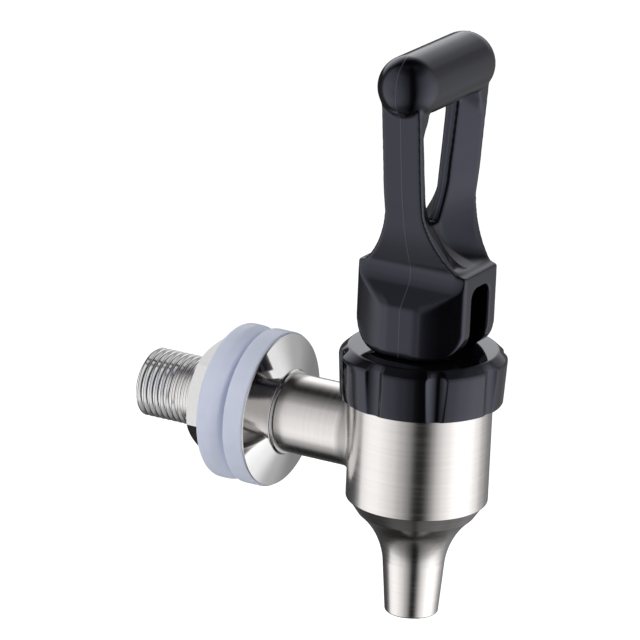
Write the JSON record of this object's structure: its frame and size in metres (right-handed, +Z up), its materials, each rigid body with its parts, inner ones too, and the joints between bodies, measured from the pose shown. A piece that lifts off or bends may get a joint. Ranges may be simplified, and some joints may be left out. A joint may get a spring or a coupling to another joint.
{
  "type": "beverage dispenser spigot",
  "caption": "Self-closing dispenser tap with a tapered spout, a threaded shank, a fluted bonnet and a tilting loop handle.",
  "frame": {"origin": "on the shank's axis, in the plane where the tank wall meets the front washer", "axes": "+Y along the shank into the tank, +Z up, +X to the right seen from the front of the tap"},
  "size_m": [0.0376, 0.0889, 0.1324],
  "materials": {
    "brushed_body": "brushed",
    "polished_steel": "polished",
    "nut_steel": "turned",
    "inner_steel": "plain",
    "silicone": "translucent satin",
    "bonnet_plastic": "gloss",
    "handle_plastic": "satin gloss"
  },
  "bodies": {
    "body": {"valve_body": "brushed_body", "flange": "polished_steel", "front_washer": "silicone", "bonnet": "bonnet_plastic", "seat_cup": "silicone", "spring": "inner_steel"},
    "lifter": {"spring_washer": "inner_steel"},
    "stem": {"stem": "inner_steel", "handle_pin": "inner_steel"},
    "handle": {"handle": "handle_plastic"},
    "rear_washer": {"rear_washer": "silicone"},
    "lock_nut": {"lock_nut": "nut_steel"}
  },
  "joints": [
    {"name": "stem_lift", "type": "slide", "parent": "body", "child": "lifter", "axis": [0, 0, 1], "range_m": [0, 0.00393], "stiffness_N_per_m": 900, "springref_m": -0.012, "deforming": ["spring", "seat_cup"]},
    {"name": "handle_swivel", "type": "hinge", "parent": "lifter", "child": "stem", "pos_m": [0, -0.0406, 0.0226], "axis": [0, 0, 1], "continuous": true},
    {"name": "handle_tilt", "type": "hinge", "parent": "stem", "child": "handle", "pos_m": [0, -0.0406, 0.029], "axis": [1, 0, 0], "range_deg": [0, 35]},
    {"name": "nut_travel", "type": "slide", "parent": "body", "child": "rear_washer", "axis": [0, 1, 0], "range_m": [0, 0.012]},
    {"name": "nut_spin", "type": "hinge", "parent": "rear_washer", "child": "lock_nut", "pos_m": [0, 0.0072, 0], "axis": [0, 1, 0], "range_deg": [0, 2880]}
  ],
  "couplings": [
    {"joint": "handle_tilt", "follows": "stem_lift", "rad_per_m": 155.04},
    {"joint": "nut_spin", "follows": "nut_travel", "rad_per_m": 4188.8}
  ]
}
